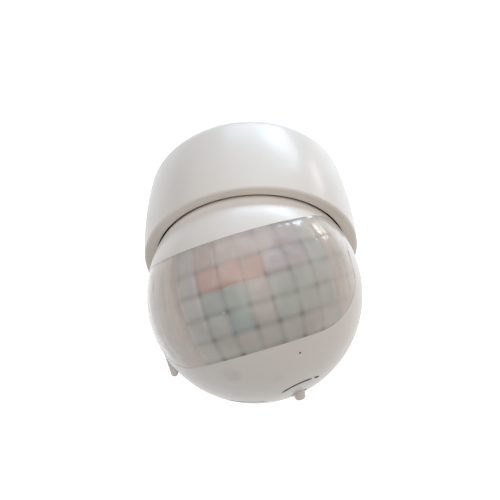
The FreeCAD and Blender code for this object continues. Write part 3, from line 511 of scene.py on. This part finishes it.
# The colour of what lies behind the lens at a place.
def behind(across, up):
    colour = CREAM.lerp(GREEN, 0.95 * depth_at(across, up) * (1 - 0.3 * smooth(-15, -18, up)))
    for tint, strength, columns, rows in FACET_TINTS:
        colour = colour.lerp(tint, strength * band(across, *columns) * band(up, *rows))
    return colour


# A facet takes most of its colour from its middle. Its edges carry painted shade, which is deeper where the inside
# behind them is dark.
def lens_tint(across, up):
    column, row = cell_of(across, up)
    middle = cell_middle(column, row)
    colour = behind(*middle).lerp(behind(across, up), 0.45)
    colour = colour * (1.0 + 0.05 * noise.noise(Vector((column * 1.7, row * 2.3, 4.1))))
    colour = colour * (1.0 + 0.05 * noise.noise(Vector((across * 0.16, up * 0.16, 1.3))))
    a, b = abs(across - middle[0]) / CELL_TURN * 2, abs(up - middle[1]) / CELL_RISE * 2
    upright, level = smooth(0.5, 1.05, a), smooth(0.5, 1.05, b)
    patchy = 0.75 + 0.5 * noise.noise(Vector((across * 0.12, up * 0.12, 7.7)))
    deep = depth_at(across, up)
    faint = 0.06 + 0.34 * smooth(44, 62, abs(across))
    shade = (faint + (1 - faint) * deep) * (0.15 * upright + 0.21 * level + 0.16 * upright * level) * patchy
    streaks = 0.05 * (1 - deep) * noise.noise(Vector((across * 0.45, up * 0.03, 5.5)))
    # Painted highlight lines running upright along facet edges.
    glint_lines = sum(pale * line_at(across, place, width) * band(up, *rows) for pale, place, width, rows in GLINT_LINES)
    # A painted glint at one facet's corner, and a fainter painted highlight along the edge beside it.
    glint = 0.42 * line_at(across, -7.3, 0.55) * line_at(up, -5.5, 0.5)
    glint += 0.09 * band(across, -14.5, -7.5, 1.0) * line_at(up, -6.9, 0.6)
    return (*(colour * (1.0 - shade + streaks + glint_lines + glint)), 1.0)


# How far the lens's face lies inside the ball: deeper at a facet's edges, and a little wavy all over.
def pillow(across, up):
    middle = cell_middle(*cell_of(across, up))
    a, b = abs(across - middle[0]) / CELL_TURN * 2, abs(up - middle[1]) / CELL_RISE * 2
    dip = PILLOW * (min(1.0, a) ** 4 + min(1.0, b) ** 4)
    wavy = PILLOW + 0.00010 * band(across, 22, 44, 4) * smooth(6, 12, up)
    ripple = wavy * noise.noise(Vector((across * 0.22, up * 0.22, 2.0)))
    return dip + ripple + PILLOW


# The lens's face, from the window's rim inwards, with a tint at each point.
def lens_skin():
    heights = window_heights(150, LENS_GAP)
    columns = 400
    points, tints = [], []
    for z in heights:
        up = math.degrees(math.asin(z / BALL))
        half = window_turn(z, LENS_GAP)
        for i in range(columns):
            across = half * (2 * i / (columns - 1) - 1)
            aside = BALL * math.radians(half - abs(across))
            edge = min(WINDOW_TOP - z, z - WINDOW_BOTTOM, aside)
            inward = smooth(0.0, EDGE_SINK, edge)
            points.append(HEAD @ (toward(across, up) * (BALL - LENS_GAP - inward * pillow(across, up))))
            # Painted shade along the lens's upper rim and painted light along its lower rim.
            rim_light_and_shade = (0.10 if z > 0 else -0.03) * (1 - smooth(0.0, EDGE_SHADE, edge))
            red, green, blue, full = lens_tint(across, up)
            tints.append((red * (1 - rim_light_and_shade), green * (1 - rim_light_and_shade), blue * (1 - rim_light_and_shade), full))
    return piece("lens_skin", points, grid_faces(len(heights), columns), LENS, "head", tints=tints)


def lens_paint():
    paint = Paint("milky_lens")
    layer = paint.tree.nodes.new("ShaderNodeVertexColor")
    layer.layer_name = "tint"
    drift = paint.ramp(paint.noise(90.0, 4.0), [(0.3, (0.95, 0.95, 0.95, 1)), (0.7, (1, 1, 1, 1))])
    mix = paint.tree.nodes.new("ShaderNodeMix")
    mix.data_type = "RGBA"
    mix.blend_type = "MULTIPLY"
    mix.inputs["Factor"].default_value = 1.0
    paint.tree.links.new(layer.outputs["Color"], mix.inputs["A"])
    paint.tree.links.new(drift, mix.inputs["B"])
    paint.link(mix.outputs["Result"], "Base Color")
    paint.link(paint.span(paint.noise(240.0, 3.0), 0.16, 0.26), "Roughness")
    paint.bump(paint.noise(900.0, 2.0), 0.00002)
    paint.set(subsurface_weight=0.25, subsurface_scale=0.002, coat_weight=0.25, coat_roughness=0.10)
    return paint.material


LENS = lens_paint()


# The moulded peg beside the lens, a tapered pin with a round tip.
def side_peg():
    line = PEG_SIDE + arc((0.0, PEG_TIP), PEG_TIP_ROUND, 0, -90, 10)
    points, segments = [], 40
    for radius, height in line:
        for i in range(segments):
            angle = 2 * math.pi * i / segments
            x, y = PEG_PLACE[0] + radius * math.cos(angle), PEG_PLACE[1] - radius * math.sin(angle)
            points.append(HEAD @ Vector((x, y, height)))
    return piece("side_peg", points, grid_faces(len(line), segments, closed=True), WHITE, "head")


# A printed line on the ball, a fine ribbon with tapered ends along the given points of the head's plan.
def printed(name, plan, width):
    points, normals = [], []
    last = len(plan) - 1
    for i, (x, y) in enumerate(plan):
        before, after = plan[max(0, i - 1)], plan[min(last, i + 1)]
        along = Vector((after[0] - before[0], after[1] - before[1], 0)).normalized()
        side = Vector((-along.y, along.x, 0))
        ends = smooth(0, 0.12, i / last) * smooth(0, 0.12, 1 - i / last)
        for sign in (-1, 1):
            flat = Vector((x, y, 0)) + side * (sign * width * (0.35 + 0.65 * ends) / 2)
            flat.z = -math.sqrt((BALL + PRINT_LIFT) ** 2 - flat.x ** 2 - flat.y ** 2)
            points.append(HEAD @ flat)
            normals.append((HEAD.to_3x3() @ flat).normalized())
    return piece(name, points, grid_faces(len(plan), 2), INK, "head", normals)


# A small uneven spot on the ball.
def dot(name, across, up, radius, paint):
    normal = toward(across, up)
    first = normal.orthogonal().normalized()
    second = normal.cross(first)
    points, segments = [HEAD @ (normal * (BALL + SPOT_MIDDLE))], 16
    for i in range(segments):
        angle = 2 * math.pi * i / segments
        reach = radius * (1 + 0.25 * noise.noise(Vector((math.cos(angle), math.sin(angle), 0.3))))
        spot = normal * BALL + (first * math.cos(angle) + second * math.sin(angle)) * reach
        points.append(HEAD @ (spot.normalized() * (BALL + SPOT_EDGE)))
    faces = [(0, 1 + i, 1 + (i + 1) % segments) for i in range(segments)]
    return piece(name, points, faces, paint, "head")


cup = turned("cup_skin", cup_profile(), WHITE, "base", hole=(LOCK_HOLE, LOCK_RADIUS, cup_low))
hole_wall("lock_well", Matrix(), LOCK_HOLE, LOCK_RADIUS, LOCK_DEPTH, cup_low, WHITE, "base")
# The lip's lighter white is painted light.
turned("cup_lip", lip_profile(), LIP_PAINTED_LIGHT, "base")
# The dish carries painted shade, as dark as the shadow in the gap.
turned("cup_dish", dish_profile(), DISH_SHADE, "base")
skin = front_skin()
hole_wall("knob_well", HEAD, LIGHT_KNOB, KNOB_HOLE, SHELL_WALL, ball_low, WHITE, "head")
rebate_wall()
side_peg()
lens = lens_skin()
printed("light_arc", arc(LIGHT_KNOB, 0.0088, -120, -46, 40), 0.00080)
printed("light_tick", arc(LIGHT_KNOB, 0.0090, -40, -25, 40), 0.00085)
printed("time_arc", arc(TIME_KNOB, 0.0235, -108, -78, 40), 0.00055)
dot("speck_low", 23.6, -34.9, 0.00036, SPECK)
for name in ("base_housing", "front_shell"):
    mesh = frame["nodes"][name].data
    mesh.materials.clear()
    mesh.materials.append(INSIDE)


# Floor, light and camera

def shade(name, build):
    material = bpy.data.materials.new(name)
    material.use_nodes = True
    build(material.node_tree)
    return material


# The floor looks white to the camera and still takes a soft shadow.
def floor_nodes(tree):
    tree.nodes.clear()
    output = tree.nodes.new("ShaderNodeOutputMaterial")
    diffuse = tree.nodes.new("ShaderNodeBsdfDiffuse")
    diffuse.inputs["Color"].default_value = (0.82, 0.82, 0.82, 1)
    glow = tree.nodes.new("ShaderNodeEmission")
    glow.inputs["Strength"].default_value = 0.885
    path = tree.nodes.new("ShaderNodeLightPath")
    seen = path.outputs["Is Camera Ray"]
    for ray in ("Is Glossy Ray", "Is Transmission Ray"):
        either = tree.nodes.new("ShaderNodeMath")
        either.operation = "MAXIMUM"
        tree.links.new(seen, either.inputs[0])
        tree.links.new(path.outputs[ray], either.inputs[1])
        seen = either.outputs[0]
    black = tree.nodes.new("ShaderNodeEmission")
    black.inputs["Strength"].default_value = 0.0
    pick = tree.nodes.new("ShaderNodeMixShader")
    total = tree.nodes.new("ShaderNodeAddShader")
    tree.links.new(seen, pick.inputs["Fac"])
    tree.links.new(black.outputs[0], pick.inputs[1])
    tree.links.new(glow.outputs[0], pick.inputs[2])
    tree.links.new(pick.outputs[0], total.inputs[0])
    tree.links.new(diffuse.outputs[0], total.inputs[1])
    tree.links.new(total.outputs[0], output.inputs["Surface"])


def floor():
    mesh = bpy.data.meshes.new("floor")
    reach, height = 4.0, -0.16
    corners = ((-reach, -reach), (reach, -reach), (reach, reach), (-reach, reach))
    mesh.from_pydata([(x, y, height) for x, y in corners], [], [(0, 1, 2, 3)])
    mesh.materials.append(shade("floor", floor_nodes))
    thing = bpy.data.objects.new("floor", mesh)
    bpy.context.scene.collection.objects.link(thing)


def lamp(name, place, target, size, power, colour=(1, 1, 1)):
    data = bpy.data.lights.new(name, "AREA")
    data.shape = "RECTANGLE"
    data.size, data.size_y = size
    data.energy = power
    data.color = colour
    thing = bpy.data.objects.new(name, data)
    facing = (Vector(target) - Vector(place)).to_track_quat("-Z", "Y")
    thing.matrix_world = Matrix.Translation(place) @ facing.to_matrix().to_4x4()
    bpy.context.scene.collection.objects.link(thing)


# White where the camera sees it, and a low warm fill for everything else.
def world():
    background = bpy.data.worlds.new("studio")
    background.use_nodes = True
    tree = background.node_tree
    fill = tree.nodes["Background"]
    fill.inputs["Color"].default_value = (1.0, 0.97, 0.945, 1)
    fill.inputs["Strength"].default_value = 0.13
    white = tree.nodes.new("ShaderNodeBackground")
    white.inputs["Color"].default_value = (1, 1, 1, 1)
    pick = tree.nodes.new("ShaderNodeMixShader")
    path = tree.nodes.new("ShaderNodeLightPath")
    tree.links.new(path.outputs["Is Camera Ray"], pick.inputs["Fac"])
    tree.links.new(fill.outputs[0], pick.inputs[1])
    tree.links.new(white.outputs[0], pick.inputs[2])
    tree.links.new(pick.outputs[0], tree.nodes["World Output"].inputs["Surface"])
    bpy.context.scene.world = background


# The camera that was fitted to the photograph: its place and its axes.
def camera():
    data = bpy.data.cameras.new("camera")
    data.lens = 42.0
    data.sensor_width = 36.0
    data.clip_start = 0.01
    right = Vector((0.998, -0.0628, 0.0))
    down = Vector((-0.0503, -0.7991, -0.599))
    ahead = Vector((0.0376, 0.5978, -0.8007))
    thing = bpy.data.objects.new("camera", data)
    turned_to = Matrix((right, -down, -ahead)).transposed().to_4x4()
    place = (-0.00865, -0.16597, 0.17625)
    thing.matrix_world = Matrix.Translation(place) @ turned_to
    bpy.context.scene.collection.objects.link(thing)
    bpy.context.scene.camera = thing


floor()
world()
camera()
centre = (0, -0.045, 0)
lamp("sky_window", (0.37, 0.70, 0.34), centre, (0.36, 0.20), 2.0, (0.70, 0.87, 1.0))
lamp("wide_window", (0.10, 0.78, 0.36), centre, (0.60, 0.26), 3.0, (0.66, 0.84, 1.0))
lamp("side_window", (0.66, 0.56, 0.13), centre, (0.17, 0.14), 0.58, (1.0, 0.95, 0.89))
lamp("top_lamp", (-0.15, 0.0, 0.70), centre, (0.7, 0.7), 2.3, (1.0, 0.975, 0.955))
lamp("warm_side", (0.7, -0.2, 0.25), centre, (0.7, 0.7), 1.1, (1.0, 0.85, 0.72))
lamp("left_fill", (-0.60, -0.12, 0.30), centre, (0.5, 0.5), 0.2, (1.0, 0.97, 0.94))
lamp("room_fill", (0.0, -0.45, 0.60), centre, (0.5, 0.5), 0.95, (1.0, 0.94, 0.88))
bpy.context.scene.view_settings.view_transform = "Standard"

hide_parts("base_housing")
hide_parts("front_shell")
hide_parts("lens")
